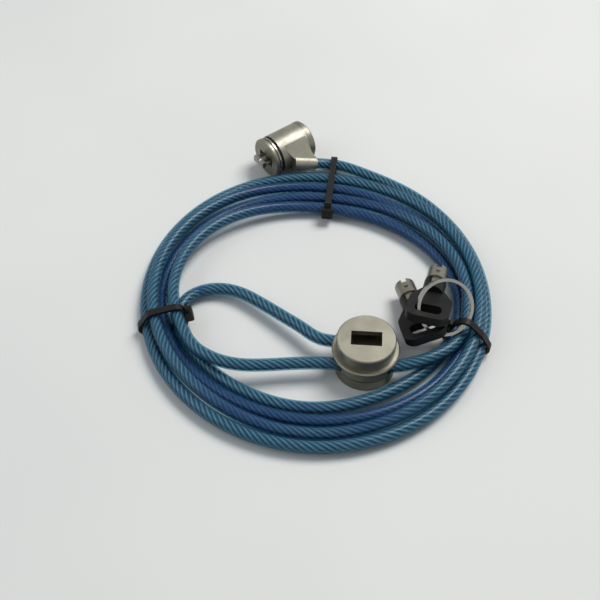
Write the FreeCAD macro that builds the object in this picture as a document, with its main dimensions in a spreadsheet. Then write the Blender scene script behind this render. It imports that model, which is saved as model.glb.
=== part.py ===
import FreeCAD, Part
import Sketcher
import math
import os

# Laptop cable lock: a coiled steel cable in a clear blue jacket, tied three times, with a swivelling
# tubular-key lock head on one end, a slotted anchor on the other, and two keys on a split ring.
# Millimetres, +Z up, origin at the centre of the anchor's flat foot, slot of the anchor along X.

V = FreeCAD.Vector
doc = FreeCAD.newDocument("laptop_cable_lock")

SIZES = {
    # Cable and the coil that it lies in
    "cable_dia": 4.5, "cable_rest": 1.2, "coil_x": -19.4, "coil_y": 27.8, "pile_rise": 4.35,
    # Cable ties
    "tie_width": 2.6, "tie_thick": 1.0, "tie_clear": 0.2, "tie_head": 4.6, "tie_head_deep": 3.4,
    # Anchor
    "housing_dia": 22.0, "housing_high": 9.6, "flange_dia": 24.4, "flange_high": 1.5,
    "boss_dia": 21.3, "boss_high": 5.4, "cap_top": 2.2, "cavity_dia": 15.0, "cavity_deep": 1.0,
    "slot_long": 11.0, "slot_wide": 6.2, "bore_clear": 0.4, "slide_offset": 4.6, "end_offset": 5.2,
    "bore_high": 6.8, "end_ferrule_dia": 6.0, "end_ferrule_long": 9.0, "seat_clear": 0.05,
    "foot_dia": 18.4, "foot_high": 1.2, "grub_dia": 3.0, "seam_high": 4.8, "seam_deep": 0.35,
    # Lock head, along its own axis from the nose face
    "head_dia": 16.8, "head_x": -44.9, "head_near": 90.15, "head_turn": 41.0,
    "nose_long": 1.5, "barrel_dia": 13.9, "fit_clear": 0.05, "washer_start": 2.1, "washer_long": 0.6,
    "seal_dia": 1.1, "seal_clear": 0.05, "sleeve_long": 14.0, "run_clear": 0.1, "rear_long": 2.6,
    "plug_dia": 10.3, "stator_start": 3.5, "shear_at": 11.0, "shear_clear": 0.05, "rotor_long": 6.8,
    "post_dia": 5.9, "keyway_dia": 8.1, "pin_circle": 7.05, "pin_dia": 1.0, "pin_clear": 0.05,
    "spindle_dia": 3.0, "bar_long": 6.4, "bar_wide": 2.6, "bar_thick": 1.6, "bar_reach": 4.0,
    # Ear of the swivel sleeve, and the barrel under it that holds the cable's first end
    "ear_wide": 10.4, "ear_long": 9.6, "ear_thick": 1.9, "ear_start": 6.4,
    "socket_dia": 6.4, "socket_long": 10.0, "socket_turn": 26.0, "socket_blind": 4.0, "lead_ferrule_dia": 5.3,
    "socket_x": 12.2, "socket_out": 8.7, "socket_deep": 2.6,
    # Keys and ring
    "key_tube_dia": 7.8, "key_tube_bore": 6.2, "key_reach": 28.0, "key_tube_long": 8.2, "key_stem_dia": 6.4,
    "bow_wide": 15.6, "bow_thick": 3.2, "bow_tail": 5.6, "bow_body": 7.0, "collar_dia": 8.2,
    "collar_start": 11.5, "bow_hole_long": 9.6, "bow_hole_wide": 5.2,
    "ring_dia": 21.0, "ring_wire": 1.1, "ring_thick": 1.8,
}

PIN_COUNT = 7
COIL_START = 82.0       # polar angle about the coil's centre, degrees, from which travel is counted
COIL_TURNS = (14.0, 1168.0)    # degrees of clockwise travel between which the cable lies in the coil
INNER_TURN = (1317.0, 1674.0)  # the same for the turn that comes after the anchor
TIES = {"tie_back": 87.5, "tie_right": -16.5, "tie_left": -164.0}          # polar angle of each cable tie
TIE_HEADS = {"tie_back": 160.0, "tie_right": 159.0, "tie_left": 172.0}     # which way its head faces, up from outward

sheet = doc.addObject("Spreadsheet::Sheet", "Sizes")
for row, (alias, value) in enumerate(SIZES.items(), 1):
    sheet.set("A%d" % row, alias)
    sheet.set("B%d" % row, str(value))
    sheet.setAlias("B%d" % row, alias)
doc.recompute()

NODES = {}


def size(alias):
    return float(sheet.get(alias))


def bind(thing, formulas):
    """Ties properties to the sheet. In a formula a size is written as Sizes.alias."""
    for name, formula in formulas.items():
        thing.setExpression(name, formula)
    return thing


def node(thing, label, placement=None):
    """Names a finished sub-part and puts it in its place."""
    if placement is not None:
        thing.Placement = placement
    thing.Label = label
    NODES[label] = thing
    return thing


ALONG_X = FreeCAD.Rotation(V(0, 1, 0), 90)
ALONG_MINUS_Y = FreeCAD.Rotation(V(1, 0, 0), 90)
UPRIGHT = FreeCAD.Rotation()


def primitive(kind, name, formulas, x="0", y="0", z="0", rotation=UPRIGHT):
    thing = doc.addObject(kind, name)
    thing.Placement = FreeCAD.Placement(V(), rotation)
    bind(thing, formulas)
    return bind(thing, {"Placement.Base.x": x, "Placement.Base.y": y, "Placement.Base.z": z})


def cylinder(name, dia, length, x="0", y="0", z="0", rotation=UPRIGHT):
    return primitive("Part::Cylinder", name, {"Radius": "(%s) / 2" % dia, "Height": length}, x, y, z, rotation)


def box(name, long, wide, high, x="0", y="0", z="0", rotation=UPRIGHT):
    return primitive("Part::Box", name, {"Length": long, "Width": wide, "Height": high}, x, y, z, rotation)


def torus(name, middle_dia, wire_dia, x="0", y="0", z="0", rotation=UPRIGHT):
    formulas = {"Radius1": "(%s) / 2" % middle_dia, "Radius2": "(%s) / 2" % wire_dia}
    return primitive("Part::Torus", name, formulas, x, y, z, rotation)


def fuse(name, *parts):
    thing = doc.addObject("Part::MultiFuse", name)
    thing.Shapes = list(parts)
    return thing


def cut(name, base, *tools):
    thing = doc.addObject("Part::Cut", name)
    thing.Base = base
    thing.Tool = tools[0] if len(tools) == 1 else fuse(name + "_tools", *tools)
    return thing


def group(name, parts):
    """Equal loose pieces that share a node."""
    thing = doc.addObject("Part::Compound", name)
    thing.Links = list(parts)
    return thing


def chamfer(name, base, amount, chosen):
    """Bevels the edges of base for which chosen(edge) is true."""
    doc.recompute()
    thing = doc.addObject("Part::Chamfer", name)
    thing.Base = base
    thing.Edges = [(n, amount, amount) for n, edge in enumerate(base.Shape.Edges, 1) if chosen(edge)]
    return thing


def plane_of(body, role):
    return next(feature for feature in body.Origin.OriginFeatures if feature.Role == role)


def sketch_on(body, name, height="0"):
    sketch = body.newObject("Sketcher::SketchObject", name)
    sketch.AttachmentSupport = (plane_of(body, "XY_Plane"), [""])
    sketch.MapMode = "FlatFace"
    sketch.setExpression("AttachmentOffset.Base.z", height)
    return sketch


def circle_sketch(body, name, dia, height="0"):
    sketch = sketch_on(body, name, height)
    sketch.addGeometry(Part.Circle(V(), V(0, 0, 1), 5.0), False)
    sketch.addConstraint(Sketcher.Constraint("Coincident", 0, 3, -1, 1))
    radius = sketch.addConstraint(Sketcher.Constraint("Radius", 0, 5.0))
    sketch.setExpression("Constraints[%d]" % radius, "(%s) / 2" % dia)
    return sketch


def outline_sketch(body, name, corners, height="0"):
    """A closed outline of straight sides. Each corner is (x, y, x formula, y formula), x and y a first guess."""
    sketch = sketch_on(body, name, height)
    for n, corner in enumerate(corners):
        after = corners[(n + 1) % len(corners)]
        sketch.addGeometry(Part.LineSegment(V(corner[0], corner[1], 0), V(after[0], after[1], 0)), False)
    for n, corner in enumerate(corners):
        sketch.addConstraint(Sketcher.Constraint("Coincident", n - 1 if n else len(corners) - 1, 2, n, 1))
        across = sketch.addConstraint(Sketcher.Constraint("DistanceX", -1, 1, n, 1, corner[0]))
        along = sketch.addConstraint(Sketcher.Constraint("DistanceY", -1, 1, n, 1, corner[1]))
        sketch.setExpression("Constraints[%d]" % across, corner[2])
        sketch.setExpression("Constraints[%d]" % along, corner[3])
    return sketch


def rectangle_sketch(body, name, long, wide, height="0"):
    half_long, half_wide = "(%s) / 2" % long, "(%s) / 2" % wide
    corners = [(-4, -2, "-" + half_long, "-" + half_wide), (4, -2, half_long, "-" + half_wide),
               (4, 2, half_long, half_wide), (-4, 2, "-" + half_long, half_wide)]
    return outline_sketch(body, name, corners, height)


def sketched(body, kind, name, sketch, length, backwards=False):
    """A pad along +Z, or a pocket along -Z, or the other way where backwards is set."""
    thing = body.newObject("PartDesign::" + kind, name)
    thing.Profile = sketch
    thing.Reversed = backwards
    thing.setExpression("Length", length)
    return thing


def edge_feature(body, kind, name, base, chosen, formulas):
    doc.recompute()
    thing = body.newObject("PartDesign::" + kind, name)
    thing.Base = (base, ["Edge%d" % n for n, edge in enumerate(base.Shape.Edges, 1) if chosen(edge)])
    return bind(thing, formulas)


def is_circle(edge, radius, axis=None, at=None):
    """True for a full or part circle of that radius, whose centre lies at that place along that axis."""
    curve = edge.Curve
    if not isinstance(curve, Part.Circle) or abs(curve.Radius - radius) > 1e-4:
        return False
    return at is None or abs(curve.Center.dot(axis) - at) < 1e-4


# Anchor

ANCHOR_TOP = "Sizes.housing_high + Sizes.flange_high + Sizes.boss_high"
FLANGE_TOP = "Sizes.housing_high + Sizes.flange_high"


def anchor_housing():
    lower = cylinder("housing_lower", "Sizes.housing_dia", "Sizes.housing_high")
    flange_blank = cylinder("housing_flange", "Sizes.flange_dia", "Sizes.flange_high", z="Sizes.housing_high")
    flange = chamfer("housing_flange_f", flange_blank, 0.45, lambda edge: is_circle(edge, size("flange_dia") / 2))
    outer = fuse("housing_outer", lower, flange)
    recess = cylinder("housing_recess", "Sizes.cavity_dia", "Sizes.cavity_deep + 1", z=FLANGE_TOP + " - Sizes.cavity_deep")
    foot_seat = cylinder("housing_foot_seat", "Sizes.foot_dia + 2 * Sizes.seat_clear", "Sizes.foot_high + 1", z="-1")
    slide = cylinder("housing_slide_bore", "Sizes.cable_dia + 2 * Sizes.bore_clear", "Sizes.housing_dia + 2",
                     "-Sizes.housing_dia / 2 - 1", "-Sizes.slide_offset", "Sizes.bore_high", ALONG_X)
    blind = cylinder("housing_end_bore", "Sizes.end_ferrule_dia + 2 * Sizes.seat_clear", "Sizes.end_ferrule_long + 4",
                     "-1.5 - Sizes.end_ferrule_long - 4", "Sizes.end_offset", "Sizes.bore_high", ALONG_X)
    grub = cylinder("housing_grub_hole", "Sizes.grub_dia + 2 * Sizes.seat_clear", "Sizes.bore_high",
                    "-6", "Sizes.end_offset", "0")
    seam_ring = cylinder("housing_seam_ring", "Sizes.housing_dia + 2", "Sizes.seam_deep", z="Sizes.seam_high")
    seam_core = cylinder("housing_seam_core", "Sizes.housing_dia - 2 * Sizes.seam_deep", "Sizes.seam_deep", z="Sizes.seam_high")
    seam = cut("housing_seam", seam_ring, seam_core)
    node(cut("anchor_housing_f", outer, recess, foot_seat, slide, blind, grub, seam), "anchor_housing")


def anchor_cap():
    body = doc.addObject("PartDesign::Body", "anchor_cap_body")
    sketched(body, "Pad", "cap_boss", circle_sketch(body, "cap_circle", "Sizes.boss_dia", FLANGE_TOP), "Sizes.boss_high")
    sketched(body, "Pocket", "cap_cavity", circle_sketch(body, "cavity_circle", "Sizes.cavity_dia", FLANGE_TOP),
             "Sizes.boss_high - Sizes.cap_top", True)
    outline = rectangle_sketch(body, "slot_outline", "Sizes.slot_long", "Sizes.slot_wide", ANCHOR_TOP)
    slot = sketched(body, "Pocket", "cap_slot", outline, "Sizes.cap_top + 0.5")
    top = size("housing_high") + size("flange_high") + size("boss_high")
    radius = size("boss_dia") / 2
    edge_feature(body, "Chamfer", "cap_rim", slot, lambda edge: is_circle(edge, radius, V(0, 0, 1), top),
                 {"Size": "0.35"})
    node(body, "anchor_cap")


def anchor_small_parts():
    node(cylinder("anchor_foot_f", "Sizes.foot_dia", "Sizes.foot_high"), "anchor_foot_disc")
    ferrule = cylinder("end_ferrule_outer", "Sizes.end_ferrule_dia", "Sizes.end_ferrule_long",
                       "-1.5 - Sizes.end_ferrule_long", "Sizes.end_offset", "Sizes.bore_high", ALONG_X)
    node(ferrule, "cable_end_ferrule")
    grub = cylinder("grub_thread", "Sizes.grub_dia", "Sizes.bore_high - Sizes.end_ferrule_dia / 2 - Sizes.foot_high - 0.1",
                    "-6", "Sizes.end_offset", "Sizes.foot_high + 0.1")
    socket = cylinder("grub_socket", "1.5", "1.1", "-6", "Sizes.end_offset", "Sizes.foot_high")
    node(cut("grub_screw_f", grub, socket), "ferrule_grub_screw")


# Lock head. Its pieces are built on the X axis, nose face at 0, and then laid down behind the coil.

# It lies on the table, and the side that faces the coil stays where it is when the head gets thicker.

HEAD = FreeCAD.Placement(V(size("head_x"), size("head_near") + size("head_dia") / 2 / math.cos(math.radians(size("head_turn") / 2)),
                           size("head_dia") / 2),
                         FreeCAD.Rotation(V(0, 0, 1), size("head_turn")))
X_AXIS = V(1, 0, 0)
SEAL_START = "(Sizes.washer_start + Sizes.washer_long + Sizes.seal_clear)"
SLEEVE_START = "(%s + Sizes.seal_dia + Sizes.seal_clear)" % SEAL_START
REAR_START = "(%s + Sizes.sleeve_long + Sizes.run_clear)" % SLEEVE_START
REAR_AT = (size("washer_start") + size("washer_long") + size("seal_dia") + 2 * size("seal_clear") + size("sleeve_long")
           + size("run_clear"))


def rod(name, dia, start, length, y="0", z="0"):
    return cylinder(name, dia, length, start, y, z, ALONG_X)


def lock_body():
    nose_blank = rod("nose_disc", "Sizes.head_dia", "0", "Sizes.nose_long")
    nose = chamfer("nose_disc_f", nose_blank, 0.4, lambda edge: is_circle(edge, size("head_dia") / 2, X_AXIS, 0.0))
    neck = rod("nose_neck", "Sizes.head_dia - 2", "0.5", "Sizes.washer_start - 0.5")
    barrel = rod("barrel", "Sizes.barrel_dia", "1", REAR_START + " - 1")
    outer = fuse("lock_body_outer", nose, neck, barrel)
    bore = rod("barrel_bore", "Sizes.plug_dia + 2 * Sizes.fit_clear", "Sizes.stator_start", REAR_START)
    spindle_hole = rod("nose_hole", "Sizes.spindle_dia + 2 * Sizes.fit_clear", "-1", REAR_START)
    pocket = box("nose_pocket", "1.7", "8.4", "4.2", "-0.7", "-4.2", "-2.1")
    pin_hole = cylinder("stator_pin_hole", "1.6 + 2 * Sizes.seat_clear", "Sizes.barrel_dia", "7.2", "0", "0")
    node(cut("lock_body_f", outer, bore, spindle_hole, pocket, pin_hole), "lock_body", HEAD)


def lock_rings():
    washer = rod("washer_outer", "Sizes.head_dia - 0.3", "Sizes.washer_start", "Sizes.washer_long")
    hole = rod("washer_hole", "Sizes.barrel_dia + 2 * Sizes.fit_clear", "0", SLEEVE_START)
    node(cut("nose_washer_f", washer, hole), "nose_washer", HEAD)
    seal = torus("seal_ring_f", "Sizes.barrel_dia + Sizes.seal_dia + 2 * Sizes.seal_clear", "Sizes.seal_dia",
                 SEAL_START + " + Sizes.seal_dia / 2", rotation=ALONG_X)
    node(group("seal_ring_g", [seal]), "seal_ring", HEAD)
    blank = rod("rear_outer", "Sizes.head_dia", REAR_START, "Sizes.rear_long")
    back = REAR_AT + size("rear_long")
    cap = chamfer("rear_outer_f", blank, 0.7, lambda edge: is_circle(edge, size("head_dia") / 2, X_AXIS, back))
    opening = rod("rear_opening", "Sizes.keyway_dia", "0", "30")
    notch = box("rear_notch", "30", "1.7", "Sizes.keyway_dia / 2 + 0.9", "0", "-0.85", "0")
    node(cut("rear_cap_f", cap, opening, notch), "rear_cap", HEAD)


def around_pins(name, dia, start, length):
    """One round bar for each pin of the lock, on the pin circle."""
    bars = []
    for n in range(PIN_COUNT):
        turn = 360.0 * (n + 0.5) / PIN_COUNT
        y = "Sizes.pin_circle / 2 * sin(%.4f deg)" % turn
        z = "Sizes.pin_circle / 2 * cos(%.4f deg)" % turn
        bars.append(rod("%s_%d" % (name, n), dia, start, length, y, z))
    return bars


KEY_PIN_LONG = (4.6, 5.4, 4.9, 5.7, 4.4, 5.2, 4.8)


def lock_mechanism():
    hole = "Sizes.pin_dia + 2 * Sizes.pin_clear"
    blank = rod("stator_blank", "Sizes.plug_dia", "Sizes.stator_start", "Sizes.shear_at - Sizes.stator_start")
    middle = rod("stator_middle", "Sizes.spindle_dia + 2 * Sizes.fit_clear", "0", "20")
    pin_hole = cylinder("stator_cross_hole", "1.6 + 2 * Sizes.seat_clear", "Sizes.plug_dia", "7.2", "0", "Sizes.pin_circle / 2 - 1.4")
    node(cut("stator_f", blank, middle, pin_hole, *around_pins("stator_bore", hole, "5.4", "10")), "pin_stator", HEAD)

    rotor = rod("rotor_blank", "Sizes.plug_dia", "Sizes.shear_at + Sizes.shear_clear", "Sizes.rotor_long")
    post = rod("rotor_post", "Sizes.post_dia", "Sizes.shear_at + Sizes.shear_clear",
               REAR_START + " + Sizes.rear_long - Sizes.shear_at - 0.5")
    socket = rod("rotor_socket", "Sizes.spindle_dia + 2 * Sizes.seat_clear", "0", "Sizes.shear_at + 3.5")
    dimple = rod("rotor_dimple", "3.2", REAR_START + " + Sizes.rear_long - 1.0", "3")
    whole = fuse("rotor_whole", rotor, post)
    node(cut("rotor_f", whole, socket, dimple, *around_pins("rotor_bore", hole, "5", "30")), "key_rotor", HEAD)

    spindle = rod("spindle_rod", "Sizes.spindle_dia", "-Sizes.bar_reach + 0.2", "Sizes.bar_reach + Sizes.shear_at + 3.2")
    bar = box("spindle_bar", "Sizes.bar_thick", "Sizes.bar_long", "Sizes.bar_wide", "-Sizes.bar_reach",
              "-Sizes.bar_long / 2", "-Sizes.bar_wide / 2")
    node(fuse("t_bar_f", spindle, bar), "t_bar_spindle", HEAD)

    key_pins = []
    for n, bar_pin in enumerate(around_pins("key_pin", "Sizes.pin_dia", "Sizes.shear_at + Sizes.shear_clear + 0.05", "5")):
        bar_pin.setExpression("Height", "%.2f" % KEY_PIN_LONG[n])
        key_pins.append(bar_pin)
    node(group("key_pins_f", key_pins), "key_pins", HEAD)
    drivers = around_pins("driver_pin", "Sizes.pin_dia", "Sizes.shear_at - 3.25", "3.2")
    node(group("driver_pins_f", drivers), "driver_pins", HEAD)
    springs = []
    for n, outer in enumerate(around_pins("spring_outer", "Sizes.pin_dia", "5.45", "Sizes.shear_at - 3.3 - 5.45")):
        turn = 360.0 * (n + 0.5) / PIN_COUNT
        inner = rod("spring_inner_%d" % n, "Sizes.pin_dia - 0.5", "5", "4",
                    "Sizes.pin_circle / 2 * sin(%.4f deg)" % turn, "Sizes.pin_circle / 2 * cos(%.4f deg)" % turn)
        springs.append(cut("spring_%d" % n, outer, inner))
    node(group("pin_springs_f", springs), "pin_springs", HEAD)

    cross = cylinder("stator_pin_f", "1.6", "Sizes.barrel_dia / 2 - Sizes.pin_circle / 2 + 1.3", "7.2", "0",
                     "Sizes.pin_circle / 2 - 1.35")
    node(group("stator_pin_g", [cross]), "stator_pin", HEAD)
    posts = [rod("guide_pin_%d" % n, "1.5", "-2.2", "3.2", "%s2.75" % sign) for n, sign in enumerate(("", "-"))]
    node(group("guide_pins_f", posts), "guide_pins", HEAD)


def swivel_sleeve():
    """The sleeve turns on the barrel. Its ear is a flat plate that leaves the sleeve at a tangent, 45 degrees down."""
    ring = rod("sleeve_ring", "Sizes.head_dia - 0.1", SLEEVE_START, "Sizes.sleeve_long")
    bore = rod("sleeve_bore", "Sizes.barrel_dia + 2 * Sizes.fit_clear", "0", "30")
    lean = FreeCAD.Rotation(X_AXIS, 45)
    plate = doc.addObject("PartDesign::Body", "ear_body")
    near, far = "Sizes.ear_start", "Sizes.ear_start + Sizes.ear_wide"
    corners = [(6.4, 1.5, near, "1.5"), (6.4, -1.5, near, "-1.5"),
               (9.4, -8.9, near + " + 3.0", "-Sizes.ear_long + 0.7"), (10.6, -9.6, near + " + 4.2", "-Sizes.ear_long"),
               (15.8, -9.6, far + " - 1.0", "-Sizes.ear_long"), (16.8, -8.6, far, "-Sizes.ear_long + 1.0"),
               (16.8, 1.5, far, "1.5")]
    sketched(plate, "Pad", "ear_pad", outline_sketch(plate, "ear_outline", corners, "Sizes.head_dia / 2 - Sizes.ear_thick"),
             "Sizes.ear_thick")
    plate.Placement = FreeCAD.Placement(V(), lean)

    turn = math.radians(size("socket_turn"))
    along = lean.multVec(V(math.cos(turn), -math.sin(turn), 0))
    centre = lean.multVec(V(size("socket_x"), -size("socket_out"), size("head_dia") / 2 - size("socket_deep")))
    facing = FreeCAD.Rotation(V(0, 0, 1), along)
    half = size("socket_long") / 2

    def in_socket(name, dia, length, start):
        thing = bind(doc.addObject("Part::Cylinder", name), {"Radius": "(%s) / 2" % dia, "Height": length})
        thing.Placement = FreeCAD.Placement(centre + along * start, facing)
        return thing

    start = size("socket_blind") - half
    boss = in_socket("socket_boss", "Sizes.socket_dia", "Sizes.socket_long", -half)
    hole = in_socket("socket_hole", "Sizes.lead_ferrule_dia + 2 * Sizes.seat_clear", "Sizes.socket_long", start - size("seat_clear"))
    whole = fuse("sleeve_whole", ring, plate, boss)
    node(cut("sleeve_cut", whole, bore, hole), "swivel_sleeve", HEAD)
    length = "Sizes.socket_long - Sizes.socket_blind + 0.5"
    ferrule = in_socket("lead_ferrule_f", "Sizes.lead_ferrule_dia", length, start)
    node(group("lead_ferrule_g", [ferrule]), "cable_lead_ferrule", HEAD)
    return HEAD.multVec(centre + along * (half + 0.5)), HEAD.Rotation.multVec(along)


# Cable. Its free stretches are straight runs joined by tangent arcs, its turns are biarcs of an eighth of a turn.

def sweep(wire, dia):
    edge = wire.OrderedEdges[0]
    start, heading = edge.valueAt(edge.FirstParameter), edge.tangentAt(edge.FirstParameter)
    profile = Part.Wire([Part.Circle(start, heading, dia / 2).toShape()])
    maker = Part.BRepOffsetAPI.MakePipeShell(wire)
    maker.add(profile)
    maker.build()
    maker.makeSolid()
    solid = maker.shape()
    expected = math.pi * dia * dia / 4 * wire.Length
    print("  tube length %.1f mm, volume over section times length %.4f" % (wire.Length, solid.Volume / expected))
    return solid


def rounded_route(name, points):
    """Straight runs joined by tangent arcs, each as large as its two runs allow."""
    points = [V(*p) for p in points]
    edges, radii, here = [], [], points[0]
    for before, corner, after in zip(points, points[1:], points[2:]):
        to_corner, away = corner - before, after - corner
        half_turn = to_corner.getAngle(away) / 2
        reach = 0.45 * min(to_corner.Length, away.Length)
        radius = reach / math.tan(half_turn)
        radii.append(radius)
        enter = corner - V(to_corner).normalize() * reach
        leave = corner + V(away).normalize() * reach
        inward = (V(away).normalize() - V(to_corner).normalize()).normalize()
        middle = corner + inward * (radius / math.cos(half_turn) - radius)
        edges.append(Part.LineSegment(here, enter).toShape())
        edges.append(Part.Arc(enter, middle, leave).toShape())
        here = leave
    edges.append(Part.LineSegment(here, points[-1]).toShape())
    print("%s radii %s" % (name, " ".join("%.0f" % r for r in radii)))
    return Part.Wire(edges)


def strand_at(travel, inner=False):
    """Centre of the cable after so many degrees of clockwise travel from the start of the coil.

    The turns lie side by side at the back and the front, and in a pile of three and two at the sides.
    The inner turn moves out where the stretch through the anchor leaves the bundle, and at the left it
    leans inward over the strand that leaves for the anchor.
    """
    angle = math.radians(COIL_START - travel)
    outer = (68.25 - 1.03 * math.cos(angle) + 1.21 * math.sin(angle)
             - 2.36 * math.cos(2 * angle) - 0.59 * math.sin(2 * angle))
    pitch = 4.3 - 1.6 * math.cos(2 * angle) - 0.2 * math.cos(angle)
    lane = travel / 360.0
    upper = int((travel + 90 - COIL_START) // 360) % 2
    high = size("cable_rest") + size("cable_dia") / 2 + size("pile_rise") * (1 - math.sin(angle) ** 4) * upper
    if inner:
        front, left = COIL_START + 90 + 1440, COIL_START + 175 + 1080
        lane -= 0.9 * math.exp(-((travel - front) / 40.0) ** 2)
        lane += 0.6 * math.exp(-((travel - left) / 45.0) ** 2)
        lane -= 0.55 * math.exp(-((travel - 1666) / 45.0) ** 2)
        high += 0.9 * math.exp(-((travel - left + 15) / 40.0) ** 2)
    radius = outer - pitch * lane
    return V(size("coil_x") + radius * math.cos(angle), size("coil_y") + radius * math.sin(angle), high)


def strand_heading(travel, inner=False):
    return (strand_at(travel + 0.05, inner) - strand_at(travel - 0.05, inner)).normalize()


def biarc(start, heading, end, end_heading):
    """Two arcs from start to end that meet both headings and each other, with equal reaches."""
    chord = end - start
    both = heading + end_heading
    a = 2 * (1 - heading.dot(end_heading))
    b = 2 * chord.dot(both)
    reach = (-b + math.sqrt(b * b + 4 * a * chord.dot(chord))) / (2 * a)
    first, second = start + heading * reach, end - end_heading * reach
    joint = (first + second) * 0.5
    edges = []
    for p, corner, q in ((start, first, joint), (joint, second, end)):
        half_turn = (corner - p).getAngle(q - corner) / 2
        inward = ((p - corner).normalize() + (q - corner).normalize()).normalize()
        radius = reach / math.tan(half_turn)
        middle = corner + inward * (radius / math.cos(half_turn) - radius)
        edges.append(Part.Arc(p, middle, q).toShape())
    return edges


def turns(first, last, inner):
    count = round((last - first) / 45.0)
    stops = [first + (last - first) * n / count for n in range(count + 1)]
    edges = []
    for here, there in zip(stops, stops[1:]):
        edges += biarc(strand_at(here, inner), strand_heading(here, inner), strand_at(there, inner), strand_heading(there, inner))
    return Part.Wire(edges)


def least_gap(name, wire, others):
    """Least distance between points of the route more than a tenth of a turn apart, less the cable's diameter."""
    step = 2.0
    points = wire.discretize(Distance=step)
    skip = int(40 / step)
    own = min(((p - q).Length for n, p in enumerate(points) for q in points[n + skip:]), default=99.0)
    print("%s least gap to itself %.2f mm" % (name, own - size("cable_dia")))
    for other, other_wire in others.items():
        far = other_wire.discretize(Distance=step)
        near = min((p - q).Length for p in points[6:-6] for q in far[6:-6])
        print("%s least gap to %s %.2f mm" % (name, other, near - size("cable_dia")))


def free(thing_name, label, shape):
    thing = doc.addObject("Part::Feature", thing_name)
    thing.Shape = shape
    return node(thing, label)


def cable(lead_start, lead_heading):
    dia = size("cable_dia")
    start, start_heading = strand_at(COIL_TURNS[0]), strand_heading(COIL_TURNS[0])
    lead = [lead_start, lead_start + lead_heading * 4.0, (-12.4, 101.9, 3.6), start - start_heading * 7.0, start]
    end, end_heading = strand_at(COIL_TURNS[1]), strand_heading(COIL_TURNS[1])
    inner, inner_heading = strand_at(INNER_TURN[0], True), strand_heading(INNER_TURN[0], True)
    bore_y, bore_z = -size("slide_offset"), size("bore_high")
    through = [end, end + end_heading * 7.0, (33.9, 8.5, 8.0), (29.4, 3.0, 8.4), (23.6, -0.8, 8.5), (17.8, -3.2, 8.0),
               (11.6, -4.5, 6.95), (4.0, bore_y, bore_z), (-4.0, bore_y + 0.02, bore_z), (-11.5, -4.65, bore_z),
               (-18.5, -5.0, 6.95), (-26.5, -6.0, 7.1), (-35.5, -7.6, 7.5), (-44.0, -8.6, 8.0), (-52.0, -7.6, 8.4),
               (-59.3, -4.2, 8.55), inner - inner_heading * 6.5, inner]
    last, last_heading = strand_at(INNER_TURN[1], True), strand_heading(INNER_TURN[1], True)
    low = size("cable_rest") + dia / 2
    ferrule = (-1.5 - size("end_ferrule_long"), size("end_offset"), bore_z)
    tail = [last, last + last_heading * 4.8, (-69.9, 12.6, low), (-70.7, 19.4, low), (-67.7, 25.6, low), (-61.8, 29.3, low),
            (-54.9, 30.2, low + 0.1), (-47.2, 28.0, low + 0.5), (-38.8, 22.5, low + 1.0), (-30.2, 16.2, low + 1.8),
            (-23.9, 11.6, low + 2.5), (-19.4, 7.6, 6.45), (-15.2, 5.45, 6.75), ferrule]
    routes = {
        "cable_lead": rounded_route("cable_lead", lead),
        "cable_coil": turns(*COIL_TURNS, False),
        "cable_through_anchor": rounded_route("cable_through_anchor", through),
        "cable_inner_turn": turns(*INNER_TURN, True),
        "cable_tail": rounded_route("cable_tail", tail),
    }
    total = sum(wire.Length for wire in routes.values())
    print("cable length %.0f mm" % total)
    least_gap("cable_coil", routes["cable_coil"], {"cable_inner_turn": routes["cable_inner_turn"],
                                                   "cable_through_anchor": routes["cable_through_anchor"],
                                                   "cable_tail": routes["cable_tail"]})
    least_gap("cable_inner_turn", routes["cable_inner_turn"], {"cable_through_anchor": routes["cable_through_anchor"],
                                                               "cable_tail": routes["cable_tail"]})
    for label, wire in routes.items():
        free(label + "_f", label, sweep(wire, dia))
    return routes


# Cable ties. Each strap is a belt round the strands that it holds.

def hull(points):
    """The corners of the smallest outline round the points, counter-clockwise, without the faintest ones."""
    points = sorted(set(points))

    def half(ordered):
        chain = []
        for p in ordered:
            while len(chain) > 1:
                (ax, ay), (bx, by) = chain[-2], chain[-1]
                if (bx - ax) * (p[1] - ay) - (by - ay) * (p[0] - ax) > 0.6:
                    break
                chain.pop()
            chain.append(p)
        return chain[:-1]

    return half(points) + half(points[::-1])


def belt(centres, radius):
    """A tight outline round equal circles on the centres, in the XZ plane."""
    corners = hull(centres)
    edges, count = [], len(corners)
    sides = []
    for n in range(count):
        (ax, az), (bx, bz) = corners[n], corners[(n + 1) % count]
        long = math.hypot(bx - ax, bz - az)
        out = ((bz - az) / long * radius, -(bx - ax) / long * radius)
        sides.append((V(ax + out[0], 0, az + out[1]), V(bx + out[0], 0, bz + out[1])))
    for n in range(count):
        edges.append(Part.LineSegment(*sides[n]).toShape())
        x, z = corners[(n + 1) % count]
        centre = V(x, 0, z)
        enter, leave = sides[n][1], sides[(n + 1) % count][0]
        first = math.atan2(enter.z - z, enter.x - x)
        turn = (math.atan2(leave.z - z, leave.x - x) - first) % (2 * math.pi)
        middle = centre + V(math.cos(first + turn / 2), 0, math.sin(first + turn / 2)) * radius
        edges.append(Part.Arc(enter, middle, leave).toShape())
    return Part.Wire(edges)


def crossings(routes, angle):
    """Where the cable crosses the upright half plane at this angle about the coil's centre, as (radius, height)."""
    along = V(math.cos(math.radians(angle)), math.sin(math.radians(angle)), 0)
    across = V(-along.y, along.x, 0)
    centre = V(size("coil_x"), size("coil_y"), 0)
    found = []
    for wire in routes.values():
        points = wire.discretize(Distance=0.5)
        for p, q in zip(points, points[1:]):
            a, b = (p - centre).dot(across), (q - centre).dot(across)
            if a * b <= 0 and a != b and (p - centre).dot(along) > 30:
                spot = p + (q - p) * (a / (a - b)) - centre
                found.append((spot.dot(along), spot.z))
    return found


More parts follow.
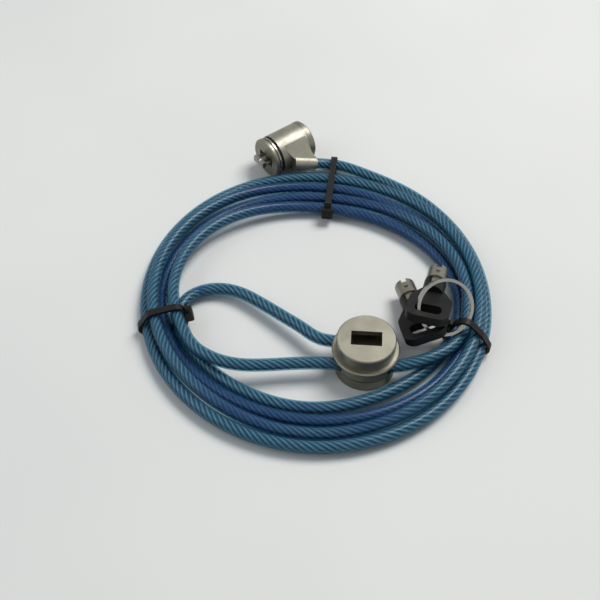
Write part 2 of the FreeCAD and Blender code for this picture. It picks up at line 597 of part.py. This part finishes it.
def cable_tie(label, angle, centres, head_faces):
    """Strap, head, and the end that was snipped off just past it. X is outward from the coil's centre.

    The head sits where the belt faces that many degrees up from outward.
    """
    near = size("cable_dia") / 2 + size("tie_clear")
    thick, wide = size("tie_thick"), size("tie_width")
    outer, inner = [Part.Face(belt(centres, reach)).extrude(V(0, wide, 0)) for reach in (near + thick, near)]
    strap = outer.cut(inner)
    strap.translate(V(0, -wide / 2, 0))
    head, deep = size("tie_head"), size("tie_head_deep")
    block = Part.makeBox(head, head, deep, V(-head / 2, -head / 2, 0))
    block = block.makeChamfer(0.5, block.Edges).Solids[0]
    stub = Part.makeBox(2.6, wide, thick, V(head / 2 - 0.3, -wide / 2, deep / 2 - thick / 2))
    top = block.fuse(stub)
    facing = math.radians(head_faces)
    out = V(math.cos(facing), 0, math.sin(facing))
    reach = max(x * out.x + z * out.z for x, z in centres)
    far = [(x, z) for x, z in centres if x * out.x + z * out.z > reach - 0.6]
    middle = V(sum(x for x, z in far) / len(far), 0, sum(z for x, z in far) / len(far))
    top.Placement = FreeCAD.Placement(middle + out * (near + 0.15), FreeCAD.Rotation(V(0, 1, 0), 90 - head_faces))
    thing = free(label + "_f", label, strap.fuse(top))
    thing.Placement = FreeCAD.Placement(V(size("coil_x"), size("coil_y"), 0), FreeCAD.Rotation(V(0, 0, 1), angle))


RING_CENTRE = V(27.77, 15.08, 17.73)
RING_LEAN = 48.5        # degrees between the ring's plane and the table
RING_HEAD = 15.3         # degrees that the ring's level diameter is turned from X
RING_AT_TIE = -52.0     # where on the ring the tie holds it, degrees from that diameter
RING_IN_BOWS = 205.0    # where on the ring the bows hang: this point stays in its place when the ring gets wider
RING_MIDDLE = 9.95      # radius at the middle of the wire, of the ring whose centre is RING_CENTRE


def ring_direction(degrees):
    level = V(math.cos(math.radians(RING_HEAD)), math.sin(math.radians(RING_HEAD)), 0)
    lean = math.radians(RING_LEAN)
    rising = V(-level.y * math.cos(lean), level.x * math.cos(lean), math.sin(lean))
    turn = math.radians(degrees)
    return level * math.cos(turn) + rising * math.sin(turn)


def ring_point(degrees):
    """A point on the middle of the ring's wire, or the ring's centre where degrees is None."""
    middle = (size("ring_dia") - size("ring_wire")) / 2
    centre = RING_CENTRE + ring_direction(RING_IN_BOWS) * (RING_MIDDLE - middle)
    return centre if degrees is None else centre + ring_direction(degrees) * middle


def cable_ties(routes):
    for label, angle in TIES.items():
        low = size("cable_rest") + size("cable_dia") / 2
        centres = [(out, max(high, low)) for out, high in crossings(routes, angle)]
        if label == "tie_right":
            along = V(math.cos(math.radians(angle)), math.sin(math.radians(angle)), 0)
            for side in (-10, 10):      # where the ring enters and leaves the strap's width
                held = ring_point(RING_AT_TIE + side)
                out = (held - V(size("coil_x"), size("coil_y"), 0)).dot(along)
                centres.append((out, held.z + size("ring_thick") / 2 + 0.45 - size("cable_dia") / 2 - size("tie_clear")))
        cable_tie(label, angle, centres, TIE_HEADS[label])


# Keys and ring

def key_ring():
    outer = cylinder("ring_outer", "Sizes.ring_dia", "Sizes.ring_thick", z="-Sizes.ring_thick / 2")
    inner = cylinder("ring_inner", "Sizes.ring_dia - 2 * Sizes.ring_wire", "Sizes.ring_thick + 2", z="-Sizes.ring_thick / 2 - 1")
    lean = FreeCAD.Rotation(V(0, 0, 1), RING_HEAD).multiply(FreeCAD.Rotation(V(1, 0, 0), RING_LEAN))
    node(cut("key_ring_f", outer, inner), "key_ring", FreeCAD.Placement(ring_point(None), lean))


# Where each key lies: centre of the hole in its bow, its tip's direction in plan, its slope down to the tip, and its roll
KEYS = {1: (V(20.55, 8.51, 12.33), 103.5, 15.5, -13.1), 2: (V(21.47, 12.38, 17.70), 79.1, 16.9, 0.4)}


def key(number):
    hole_centre, turn, slope, roll = KEYS[number]
    rotation = (FreeCAD.Rotation(V(0, 0, 1), turn).multiply(FreeCAD.Rotation(V(0, 1, 0), slope))
                .multiply(FreeCAD.Rotation(V(1, 0, 0), roll)))
    place = FreeCAD.Placement(hole_centre, rotation)
    tag = "key%d_" % number
    tube = rod(tag + "tube", "Sizes.key_tube_dia", "Sizes.key_reach - Sizes.key_tube_long", "Sizes.key_tube_long")
    stem = rod(tag + "stem", "Sizes.key_stem_dia", "Sizes.collar_start + 2", "Sizes.key_reach - Sizes.key_tube_long - Sizes.collar_start - 1")
    bore = rod(tag + "bore", "Sizes.key_tube_bore", "Sizes.key_reach - Sizes.key_tube_long + 1.5", "20")
    notch = box(tag + "notch", "2.2", "1.9", "20", "Sizes.key_reach - 2.0", "-0.95", "0")
    nib = box(tag + "nib", "1.5", "1.4", "0.7", "Sizes.key_reach - 5.2", "-0.7", "Sizes.key_tube_dia / 2 - 0.2")
    blank = fuse(tag + "blank", tube, stem, nib)
    node(cut(tag + "tube_cut", blank, bore, notch), "key_tube_%d" % number, place)

    plate = doc.addObject("PartDesign::Body", tag + "bow_body")
    half, neck = "Sizes.bow_wide / 2", "Sizes.collar_dia / 2"
    shoulder, start = "Sizes.bow_body", "Sizes.collar_start + 1.5"
    corners = [(-5.6, -7.8, "-Sizes.bow_tail", "-" + half), (7, -7.8, shoulder, "-" + half), (13, -4.3, start, "-" + neck),
               (13, 4.3, start, neck), (7, 7.8, shoulder, half), (-5.6, 7.8, "-Sizes.bow_tail", half)]
    level = "-Sizes.bow_thick / 2"
    pad = sketched(plate, "Pad", tag + "bow_pad", outline_sketch(plate, tag + "bow_outline", corners, level), "Sizes.bow_thick")
    half_wide = size("bow_wide") / 2

    def is_corner(edge):
        middle = edge.CenterOfMass
        upright = abs(edge.tangentAt(edge.FirstParameter).z) > 0.9
        return upright and abs(abs(middle.y) - half_wide) < 1e-3

    edge_feature(plate, "Fillet", tag + "bow_corners", pad, is_corner, {"Radius": "min(4.5; Sizes.bow_tail * 0.7)"})
    outline = rectangle_sketch(plate, tag + "hole_outline", "Sizes.bow_hole_wide", "Sizes.bow_hole_long",
                               "Sizes.bow_thick / 2")
    hole = sketched(plate, "Pocket", tag + "bow_hole", outline, "Sizes.bow_thick")

    def is_hole_corner(edge):
        middle = edge.CenterOfMass
        upright = abs(edge.tangentAt(edge.FirstParameter).z) > 0.9
        return upright and abs(abs(middle.y) - size("bow_hole_long") / 2) < 1e-3 and abs(middle.x) < size("bow_hole_wide")

    edge_feature(plate, "Fillet", tag + "hole_corners", hole, is_hole_corner, {"Radius": "Sizes.bow_hole_wide * 0.35"})
    collar = rod(tag + "collar", "Sizes.collar_dia", "Sizes.collar_start", "Sizes.key_reach - Sizes.key_tube_long - Sizes.collar_start - 0.1")
    seat = rod(tag + "seat", "Sizes.key_stem_dia", "Sizes.collar_start + 2", "30")
    window = box(tag + "window", "4.6", "4.4", "10", "Sizes.key_reach - Sizes.key_tube_long - 4.6", "-2.2", "1.5")
    whole = fuse(tag + "bow_whole", plate, collar)
    node(cut(tag + "bow_cut", whole, seat, window), "key_bow_%d" % number, place)


def check_and_write():
    doc.recompute()
    broken = [thing.Name for thing in doc.Objects if {"Invalid", "Error"} & set(thing.State)]
    if broken:
        raise RuntimeError("not computed: %s" % ", ".join(broken))
    os.makedirs("parts", exist_ok=True)
    for label, thing in NODES.items():
        shape = thing.Shape
        if shape.isNull() or not shape.isValid() or not shape.Solids:
            raise RuntimeError("%s has no valid solid" % label)
    for label, thing in NODES.items():
        thing.Shape.exportStep("parts/%s.step" % label)
        lowest = thing.Shape.BoundBox
        print("%-22s solids %d  volume %9.1f  z %.2f to %.2f" % (label, len(thing.Shape.Solids), thing.Shape.Volume, lowest.ZMin, lowest.ZMax))


anchor_housing()
anchor_cap()
anchor_small_parts()
lock_body()
lock_rings()
lock_mechanism()
lead_start, lead_heading = swivel_sleeve()
routes = cable(lead_start, lead_heading)
cable_ties(routes)
key_ring()
for number in KEYS:
    key(number)
check_and_write()
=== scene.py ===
import math
import bpy
import numpy as np
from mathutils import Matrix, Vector


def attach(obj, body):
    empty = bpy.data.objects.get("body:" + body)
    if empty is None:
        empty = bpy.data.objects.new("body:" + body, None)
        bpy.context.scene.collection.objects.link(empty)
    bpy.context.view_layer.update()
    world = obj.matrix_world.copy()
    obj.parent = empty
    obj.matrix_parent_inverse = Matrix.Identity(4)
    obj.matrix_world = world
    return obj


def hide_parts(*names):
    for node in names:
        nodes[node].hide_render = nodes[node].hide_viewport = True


# Looks of a laptop cable lock: clear blue jacket over a twisted steel rope, satin nickel fittings,
# black nylon ties, tubular keys with black bows on a split ring. Metres, in the frame of the CAD model.

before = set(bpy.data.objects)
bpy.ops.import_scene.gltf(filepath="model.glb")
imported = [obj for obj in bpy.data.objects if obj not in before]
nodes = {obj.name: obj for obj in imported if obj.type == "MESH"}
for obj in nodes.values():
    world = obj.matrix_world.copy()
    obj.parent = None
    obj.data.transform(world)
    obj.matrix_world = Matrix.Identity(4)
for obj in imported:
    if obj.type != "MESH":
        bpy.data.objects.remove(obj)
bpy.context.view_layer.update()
MM = 0.001
ROOT = "coil_and_anchor"


# Materials

def new_material(name):
    material = bpy.data.materials.new(name)
    material.use_nodes = True
    material.node_tree.nodes.clear()
    return material, material.node_tree.nodes, material.node_tree.links


def show(nodes_, links, shader):
    """The shader goes to the material's output."""
    output = nodes_.new("ShaderNodeOutputMaterial")
    links.new(shader, output.inputs["Surface"])


def principled(nodes_, **values):
    shader = nodes_.new("ShaderNodeBsdfPrincipled")
    for name, value in values.items():
        shader.inputs[name.replace("_", " ")].default_value = value
    return shader


def noise(nodes_, links, scale, detail=3.0, stretch=(1, 1, 1)):
    """A noise texture whose cells are about 1 / scale metres, pulled out along an axis by stretch."""
    place = nodes_.new("ShaderNodeTexCoord")
    mapping = nodes_.new("ShaderNodeMapping")
    mapping.inputs["Scale"].default_value = stretch
    texture = nodes_.new("ShaderNodeTexNoise")
    texture.inputs["Scale"].default_value = scale
    texture.inputs["Detail"].default_value = detail
    links.new(place.outputs["Object"], mapping.inputs["Vector"])
    links.new(mapping.outputs["Vector"], texture.inputs["Vector"])
    return texture.outputs["Fac"]


def ramp(nodes_, links, source, stops):
    """Colours by the source's value. Each stop is (value, colour)."""
    node = nodes_.new("ShaderNodeValToRGB")
    elements = node.color_ramp.elements
    for n, (at, colour) in enumerate(stops):
        element = elements[n] if n < 2 else elements.new(at)
        element.position = at
        element.color = (*colour, 1.0)
    links.new(source, node.inputs["Fac"])
    return node.outputs["Color"]


def spread(nodes_, links, source, low, high):
    """The source's middle range laid over low to high."""
    node = nodes_.new("ShaderNodeMapRange")
    node.inputs["From Min"].default_value = 0.3
    node.inputs["From Max"].default_value = 0.7
    node.inputs["To Min"].default_value = low
    node.inputs["To Max"].default_value = high
    links.new(source, node.inputs["Value"])
    return node.outputs["Result"]


def bump(nodes_, links, shader, source, depth, strength):
    node = nodes_.new("ShaderNodeBump")
    node.inputs["Distance"].default_value = depth
    node.inputs["Strength"].default_value = strength
    links.new(source, node.inputs["Height"])
    links.new(node.outputs["Normal"], shader.inputs["Normal"])


def combine(nodes_, links, operation, first, second):
    node = nodes_.new("ShaderNodeMath")
    node.operation = operation
    links.new(first, node.inputs[0])
    links.new(second, node.inputs[1])
    return node.outputs["Value"]


def blend(nodes_, links, share, first, second):
    """Two shaders in one. The share is that of the second: a number, or a socket."""
    node = nodes_.new("ShaderNodeMixShader")
    if isinstance(share, float):
        node.inputs["Fac"].default_value = share
    else:
        links.new(share, node.inputs["Fac"])
    links.new(first, node.inputs[1])
    links.new(second, node.inputs[2])
    return node.outputs["Shader"]


def attribute(nodes_, name):
    node = nodes_.new("ShaderNodeAttribute")
    node.attribute_name = name
    return node.outputs["Fac"]


def satin_nickel(name, colour, rough, streaks=(1, 1, 1), grain=900.0):
    """Plated casting: cloudy roughness, faint stains and a fine grain."""
    material, n, l = new_material(name)
    shader = principled(n, Metallic=0.92)
    clouds = noise(n, l, 160.0, 4.0)
    fine = noise(n, l, grain, 2.0, streaks)
    darker = tuple(c * 0.82 for c in colour)
    l.new(ramp(n, l, clouds, [(0.35, darker), (0.62, colour)]), shader.inputs["Base Color"])
    l.new(spread(n, l, fine, rough - 0.06, rough + 0.08), shader.inputs["Roughness"])
    bump(n, l, shader, fine, 0.00003, 0.35)
    show(n, l, shader.outputs["BSDF"])
    return material


def black_plastic(name, level, rough, grain, depth):
    material, n, l = new_material(name)
    shader = principled(n, Specular_IOR_Level=0.20)
    fine = noise(n, l, grain, 3.0)
    low = tuple(level * k for k in (0.8, 0.8, 0.85))
    high = tuple(level * k for k in (1.3, 1.3, 1.35))
    l.new(ramp(n, l, fine, [(0.35, low), (0.65, high)]), shader.inputs["Base Color"])
    l.new(spread(n, l, fine, rough - 0.05, rough + 0.08), shader.inputs["Roughness"])
    bump(n, l, shader, fine, depth, 0.4)
    show(n, l, shader.outputs["BSDF"])
    return material


FILM_TINT = (0.52, 0.76, 0.87, 1.0)
HAZE_SHARE = 0.24
HAZE_COLOURS = [(0.35, (0.02, 0.09, 0.19)), (0.65, (0.035, 0.14, 0.26))]
GLOSS_LEVEL = 0.6
GLOSS_ROUGHNESS = 0.26
VINYL_IOR = 1.48


def jacket_material():
    """Clear blue vinyl: a tinted film with a little haze in it, and a gloss on its outside only."""
    material, n, l = new_material("clear_blue_vinyl")
    clear = n.new("ShaderNodeBsdfTransparent")
    clear.inputs["Color"].default_value = FILM_TINT
    haze = n.new("ShaderNodeBsdfDiffuse")
    l.new(ramp(n, l, noise(n, l, 350.0, 2.0), HAZE_COLOURS), haze.inputs["Color"])
    film = blend(n, l, HAZE_SHARE, clear.outputs["BSDF"], haze.outputs["BSDF"])
    gloss = n.new("ShaderNodeBsdfGlossy")
    gloss.inputs["Roughness"].default_value = GLOSS_ROUGHNESS
    rim = n.new("ShaderNodeFresnel")
    rim.inputs["IOR"].default_value = VINYL_IOR
    side = n.new("ShaderNodeNewGeometry")
    outside = n.new("ShaderNodeMath")
    outside.operation = "MULTIPLY_ADD"
    outside.inputs[1].default_value = -GLOSS_LEVEL
    outside.inputs[2].default_value = GLOSS_LEVEL
    l.new(side.outputs["Backfacing"], outside.inputs[0])
    share = combine(n, l, "MULTIPLY", rim.outputs["Fac"], outside.outputs["Value"])
    show(n, l, blend(n, l, share, film, gloss.outputs["BSDF"]))
    return material


# From the grooves between the strands to their crests, with painted shade darkening the grooves. The first ramp
# is for turns open to the light; the second is a painted-shade copy for turns that lie low between other turns
LIT_TURNS = [(0.0, (0.008, 0.028, 0.05)), (0.45, (0.04, 0.11, 0.15)), (1.0, (0.36, 0.52, 0.50))]
SHADED_TURNS = [(0.0, (0.002, 0.007, 0.045)), (0.5, (0.003, 0.024, 0.135)), (1.0, (0.012, 0.085, 0.31))]


def rope_material():
    """Steel wires seen through the vinyl: bright on the strands' crests, with painted shade making the grooves
    dark blue, and painted shade on the turns that lie low in the coil.
    """
    material, n, l = new_material("steel_rope")
    shader = principled(n, Metallic=0.15, Roughness=0.50)
    crest = attribute(n, "crest")
    mix = n.new("ShaderNodeMix")
    mix.data_type = "RGBA"
    # Painted shade: turns that lie low in the coil take the darker of the two ramps
    l.new(attribute(n, "coil_shade"), mix.inputs["Factor"])
    l.new(ramp(n, l, crest, LIT_TURNS), mix.inputs["A"])
    l.new(ramp(n, l, crest, SHADED_TURNS), mix.inputs["B"])
    l.new(mix.outputs["Result"], shader.inputs["Base Color"])
    bump(n, l, shader, attribute(n, "wires"), 0.00012, 0.8)
    show(n, l, shader.outputs["BSDF"])
    return material


looks = {
    "nickel": satin_nickel("satin_nickel", (0.25, 0.24, 0.195), 0.40),
    "sleeve": satin_nickel("turned_nickel", (0.30, 0.29, 0.24), 0.42, (1, 1, 6), 500.0),
    "bright": satin_nickel("bright_nickel", (0.40, 0.39, 0.36), 0.26),
    "steel": satin_nickel("plain_steel", (0.33, 0.32, 0.30), 0.36),
    "key_steel": satin_nickel("key_steel", (0.27, 0.255, 0.21), 0.30, (1, 1, 5), 600.0),
    "brass": satin_nickel("pin_brass", (0.72, 0.52, 0.24), 0.30),
    "seal": black_plastic("black_rubber", 0.012, 0.55, 1500.0, 0.00002),
    "tie": black_plastic("black_nylon", 0.007, 0.42, 1200.0, 0.00003),
    "bow": black_plastic("black_bow", 0.004, 0.50, 2600.0, 0.00005),
    "jacket": jacket_material(),
    "rope": rope_material(),
}

NODES_BY_LOOK = {
    "nickel": ["anchor_housing", "anchor_cap", "anchor_foot_disc", "lock_body", "rear_cap"],
    "sleeve": ["swivel_sleeve"],
    "bright": ["nose_washer", "key_ring"],
    "steel": ["cable_end_ferrule", "cable_lead_ferrule", "ferrule_grub_screw", "key_rotor", "t_bar_spindle",
              "driver_pins", "pin_springs", "stator_pin", "guide_pins"],
    "key_steel": ["key_tube_1", "key_tube_2"],
    "brass": ["pin_stator", "key_pins"],
    "seal": ["seal_ring"],
    "tie": ["tie_back", "tie_right", "tie_left"],
    "bow": ["key_bow_1", "key_bow_2"],
}


def dress(piece, look):
    if not piece.material_slots:
        piece.data.materials.append(looks[look])
    for slot in piece.material_slots:
        slot.link = "OBJECT"
        slot.material = looks[look]


for look, names in NODES_BY_LOOK.items():
    for name in names:
        dress(nodes[name], look)


# Cable. Points in millimetres, as the CAD model has them.

CABLE_DIA = 4.75
LOW = 3.45                      # centre of a turn that lies on the ties' straps
PILE_RISE = 4.35                # how much higher a turn lies that rests on another
COIL_CENTRE = (-19.4, 27.8)
COIL_START = 82.0               # polar angle about the coil's centre, degrees, from which travel is counted
COIL_TURNS = (14.0, 1168.0)     # degrees of clockwise travel between which the cable lies in the coil
INNER_TURN = (1317.0, 1674.0)   # the same for the turn that comes after the anchor
ROUND = 360


def outline_radius(angle):
    """Radius of the coil's outermost turn about its centre."""
    return (68.25 - 1.03 * math.cos(angle) + 1.21 * math.sin(angle)
            - 2.36 * math.cos(2 * angle) - 0.59 * math.sin(2 * angle))


def near(travel, at, width):
    """1 at a place of the travel, falling to 0 on both sides of it."""
    return math.exp(-((travel - at) / width) ** 2)


def strand_at(travel, inner=False):
    """Centre of the cable after so many degrees of clockwise travel. The turns lie closer at the front."""
    angle = math.radians(COIL_START - travel)
    in_front = max(0.0, -math.sin(angle)) ** 3
    outer = outline_radius(angle) - 1.3 * in_front
    pitch = 4.3 - 1.6 * math.cos(2 * angle) - 0.2 * math.cos(angle) - 0.65 * in_front
    lane = travel / ROUND
    lane -= 0.16 * near(travel, 1154, 30.0)     # clear of the right key when it swings
    upper = int((travel + 90 - COIL_START) // ROUND) % 2
    high = LOW + PILE_RISE * (1 - math.sin(angle) ** 4) * upper
    if inner:
        front, left = COIL_START + 90 + 4 * ROUND, COIL_START + 175 + 3 * ROUND
        lane -= 0.9 * near(travel, front, 40.0)
        lane += 0.6 * near(travel, left, 45.0)
        lane -= 0.55 * near(travel, 1666, 45.0)
        high += 0.9 * near(travel, left - 15, 40.0)
    radius = outer - pitch * lane
    x, y = COIL_CENTRE
    return Vector((x + radius * math.cos(angle), y + radius * math.sin(angle), high))


def heading_at(travel, inner=False):
    return (strand_at(travel + 0.05, inner) - strand_at(travel - 0.05, inner)).normalized()


def turns(first, last, inner, per_turn=40):
    count = round((last - first) / ROUND * per_turn)
    return [strand_at(first + (last - first) * n / count, inner) for n in range(count + 1)]


def cable_route():
    """From the lock head round the coil, through the anchor, round the inner turn and into the anchor."""
    exit_point, exit_heading = Vector((-24.12, 101.34, 4.65)), Vector((0.882, 0.356, -0.310))
    start, start_heading = strand_at(COIL_TURNS[0]), heading_at(COIL_TURNS[0])
    lead = [exit_point, exit_point + exit_heading * 4.0, (-12.4, 101.9, 3.6), start - start_heading * 7.0]
    end, end_heading = strand_at(COIL_TURNS[1]), heading_at(COIL_TURNS[1])
    inner, inner_heading = strand_at(INNER_TURN[0], True), heading_at(INNER_TURN[0], True)
    through = [end + end_heading * 7.0, (33.9, 8.5, 8.0), (29.4, 3.0, 8.4), (23.6, -0.8, 8.5),
               (17.8, -3.2, 8.0), (11.6, -4.5, 6.95), (4.0, -4.6, 6.8), (-4.0, -4.58, 6.8),
               (-11.5, -4.65, 6.8), (-18.5, -5.0, 6.95), (-26.5, -6.0, 7.1), (-35.5, -7.6, 7.5),
               (-44.0, -8.6, 8.0), (-52.0, -7.6, 8.4), (-59.3, -4.2, 8.55), inner - inner_heading * 6.5]
    last, last_heading = strand_at(INNER_TURN[1], True), heading_at(INNER_TURN[1], True)
    tail = [last + last_heading * 4.8, (-69.9, 12.6, LOW), (-70.7, 19.4, LOW), (-67.7, 25.6, LOW),
            (-61.8, 29.3, LOW), (-54.9, 30.2, LOW + 0.1), (-47.2, 28.0, LOW + 0.5), (-38.8, 22.5, LOW + 1.0),
            (-30.2, 16.2, LOW + 1.8), (-23.9, 11.6, LOW + 2.5), (-19.4, 7.6, 6.45), (-15.2, 5.45, 6.75),
            (-10.5, 5.2, 6.8)]
    points = lead + turns(*COIL_TURNS, False) + through + turns(*INNER_TURN, True) + tail
    return [Vector(p) * MM for p in points]


def nurbs_curve(name, points, radius):
    data = bpy.data.curves.new(name, "CURVE")
    data.dimensions = "3D"
    spline = data.splines.new("NURBS")
    spline.points.add(len(points) - 1)
    for point, place in zip(spline.points, points):
        point.co = (*place, 1.0)
    spline.order_u = 3
    spline.use_endpoint_u = True
    spline.resolution_u = 6
    data.bevel_depth = radius
    data.bevel_resolution = 5
    data.use_fill_caps = True
    piece = bpy.data.objects.new(name, data)
    bpy.context.scene.collection.objects.link(piece)
    return piece


def line_of(curve, step):
    """Points read from the curve's own smooth line, a step apart, and how far along it they are."""
    radius, curve.data.bevel_depth = curve.data.bevel_depth, 0.0
    mesh = bpy.data.meshes.new_from_object(curve)
    line = np.array([v.co[:] for v in mesh.vertices])
    bpy.data.meshes.remove(mesh)
    curve.data.bevel_depth = radius
    along = np.concatenate([[0.0], np.cumsum(np.linalg.norm(np.diff(line, axis=0), axis=1))])
    at = np.arange(0.0, along[-1], step)
    return np.stack([np.interp(at, along, line[:, k]) for k in range(3)], axis=1), at


def frames_along(line):
    """Two cross directions at each point, without twist of their own."""
    tangent = np.gradient(line, axis=0)
    tangent /= np.linalg.norm(tangent, axis=1)[:, None]
    across = np.zeros_like(line)
    side = np.cross(tangent[0], (0.0, 0.0, 1.0))
    for n, t in enumerate(tangent):
        side = side - t * side.dot(t)
        side /= np.linalg.norm(side)
        across[n] = side
    return across, np.cross(tangent, across)


ROPE_RADIUS = 1.95
ROPE_STEP = 0.9
STRANDS = 6
POINTS_PER_STRAND = 6
LAY = 16.0          # length of one full twist of the strands
WIRES_ROUND = 30    # radians of the wires' fine wave per radian round the rope
WIRES_ALONG = 4.0   # and per millimetre along it


def held(value):
    """The value, kept between 0 and 1."""
    return min(1.0, max(0.0, value))


def painted_coil_shade(place):
    """Painted shade: 1 where the cable lies low between other turns and is painted dark blue as in shade, more
    so the lower it lies, 0 where it lies open to the light.
    """
    x, y = place[0] - COIL_CENTRE[0], place[1] - COIL_CENTRE[1]
    inward = outline_radius(math.atan2(y, x)) - math.hypot(x, y)
    side = abs(x) / math.hypot(x, y)
    first, last = 8.5 - 5.5 * side, (21.0 if y < 0 else 32.0) - 7.0 * side
    within = held((inward - first) / 2.5) * held((last - inward) / 2.5)
    return within * min(1.0, max(0.15, (7.2 - place[2]) / 2.0))


def steel_rope(curve):
    """Six strands laid in a right-hand twist, as one fluted skin along the cable."""
    line, along = line_of(curve, ROPE_STEP * MM)
    across, upward = frames_along(line)
    count = STRANDS * POINTS_PER_STRAND
    half_strand = math.pi / STRANDS
    strand = ROPE_RADIUS / 3.0 * 1.02
    centre = ROPE_RADIUS - strand
    verts, crests, wires, coil_shade = [], [], [], []
    for n, place in enumerate(line):
        twist = 2 * math.pi * along[n] / (LAY * MM)
        # Painted shade, by how far in and how low the cable lies among the turns
        shaded = painted_coil_shade(place / MM)
        for k in range(count):
            part = 2 * math.pi * k / count
            off = (part % (2 * half_strand)) - half_strand
            inside = max(0.0, strand ** 2 - (centre * math.sin(off)) ** 2)
            radius = (centre * math.cos(off) + math.sqrt(inside)) * MM
            turn = part + twist
            verts.append(place + (across[n] * math.cos(turn) + upward[n] * math.sin(turn)) * radius)
            crests.append(1.0 - abs(off) / half_strand)
            wires.append(0.5 + 0.5 * math.sin(off * WIRES_ROUND + along[n] / MM * WIRES_ALONG))
            coil_shade.append(shaded)
    faces = []
    for n in range(len(line) - 1):
        for k in range(count):
            a, b = n * count + k, n * count + (k + 1) % count
            faces.append((a, b, b + count, a + count))
    faces.append(tuple(range(count))[::-1])
    faces.append(tuple(range((len(line) - 1) * count, len(line) * count)))
    mesh = bpy.data.meshes.new("cable_rope")
    mesh.from_pydata([tuple(v) for v in verts], [], faces)
    for name, values in (("crest", crests), ("wires", wires), ("coil_shade", coil_shade)):
        mesh.attributes.new(name, "FLOAT", "POINT").data.foreach_set("value", values)
    mesh.polygons.foreach_set("use_smooth", [True] * len(mesh.polygons))
    mesh.materials.append(looks["rope"])
    piece = bpy.data.objects.new("cable_rope", mesh)
    bpy.context.scene.collection.objects.link(piece)
    return piece


route = cable_route()
cable = nurbs_curve("cable_jacket", route, CABLE_DIA / 2 * MM)
cable.data.materials.append(looks["jacket"])
rope = steel_rope(cable)
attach(cable, ROOT)
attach(rope, ROOT)
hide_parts("cable_lead", "cable_coil", "cable_through_anchor", "cable_inner_turn", "cable_tail")


# Stage, light and camera

BACKDROP = (0.70, 0.71, 0.70, 1.0)
FLOOR_COLOURS = [(0.3, (0.69, 0.70, 0.69)), (0.7, (0.74, 0.75, 0.73))]
FLOOR_SIZE = 6.0
FLOOR_FADES = (0.38, 0.85)      # distances between which the floor passes into the backdrop
ROOM_COLOUR = (0.92, 0.95, 1.0, 1.0)
ROOM_LIGHT = 0.31
AIM = (-0.02, 0.03, 0.0)


def seen_directly(nodes_, links):
    """1 for what the camera, a reflection or a clear body sees, 0 for the light that falls on the object."""
    path = nodes_.new("ShaderNodeLightPath")
    total = path.outputs["Is Camera Ray"]
    for name in ("Is Glossy Ray", "Is Transmission Ray"):
        total = combine(nodes_, links, "MAXIMUM", total, path.outputs[name])
    return total


def stage():
    """A pale floor that keeps the object's shadow and turns into the even backdrop farther out."""
    bpy.ops.mesh.primitive_plane_add(size=FLOOR_SIZE, location=(0, 0, -0.0002))
    floor = bpy.context.object
    floor.name = "floor"
    material, n, l = new_material("pale_paper")
    paper = principled(n, Roughness=0.75)
    l.new(ramp(n, l, noise(n, l, 6.0, 2.0), FLOOR_COLOURS), paper.inputs["Base Color"])
    place = n.new("ShaderNodeTexCoord")
    away = n.new("ShaderNodeVectorMath")
    away.operation = "LENGTH"
    l.new(place.outputs["Object"], away.inputs[0])
    far = n.new("ShaderNodeMapRange")
    far.interpolation_type = "SMOOTHSTEP"
    far.inputs["From Min"].default_value, far.inputs["From Max"].default_value = FLOOR_FADES
    l.new(away.outputs["Value"], far.inputs["Value"])
    share = combine(n, l, "MULTIPLY", far.outputs["Result"], seen_directly(n, l))
    glow = n.new("ShaderNodeEmission")
    glow.inputs["Color"].default_value = BACKDROP
    show(n, l, blend(n, l, share, paper.outputs["BSDF"], glow.outputs["Emission"]))
    floor.data.materials.append(material)


def area_light(name, place, size, power, colour):
    data = bpy.data.lights.new(name, "AREA")
    data.shape = "DISK"
    data.size = size
    data.energy = power
    data.color = colour
    lamp = bpy.data.objects.new(name, data)
    lamp.location = place
    lamp.rotation_euler = (Vector(AIM) - Vector(place)).to_track_quat("-Z", "Y").to_euler()
    bpy.context.scene.collection.objects.link(lamp)


def lights():
    area_light("window", (0.50, 0.50, 1.15), 0.75, 14.0, (1.0, 0.985, 0.96))
    area_light("fill", (-0.80, -0.10, 0.80), 0.8, 2.2, (0.95, 0.97, 1.0))
    world = bpy.data.worlds.new("room")
    bpy.context.scene.world = world
    world.use_nodes = True
    n, l = world.node_tree.nodes, world.node_tree.links
    room = n["Background"]
    room.inputs["Color"].default_value = ROOM_COLOUR
    room.inputs["Strength"].default_value = ROOM_LIGHT
    wall = n.new("ShaderNodeBackground")
    wall.inputs["Color"].default_value = BACKDROP
    both = blend(n, l, seen_directly(n, l), room.outputs["Background"], wall.outputs["Background"])
    l.new(both, n["World Output"].inputs["Surface"])


def camera():
    data = bpy.data.cameras.new("camera")
    data.lens = 60.0
    data.sensor_width = 36.0
    data.clip_start = 0.01
    eye, target = Vector((-8.53, -214.91, 297.08)) * MM, Vector((-25.61, 29.38, 0.0)) * MM
    piece = bpy.data.objects.new("camera", data)
    piece.location = eye
    piece.rotation_euler = (target - eye).to_track_quat("-Z", "Y").to_euler()
    bpy.context.scene.collection.objects.link(piece)
    bpy.context.scene.camera = piece


stage()
lights()
camera()
bpy.context.scene.view_settings.view_transform = "Standard"
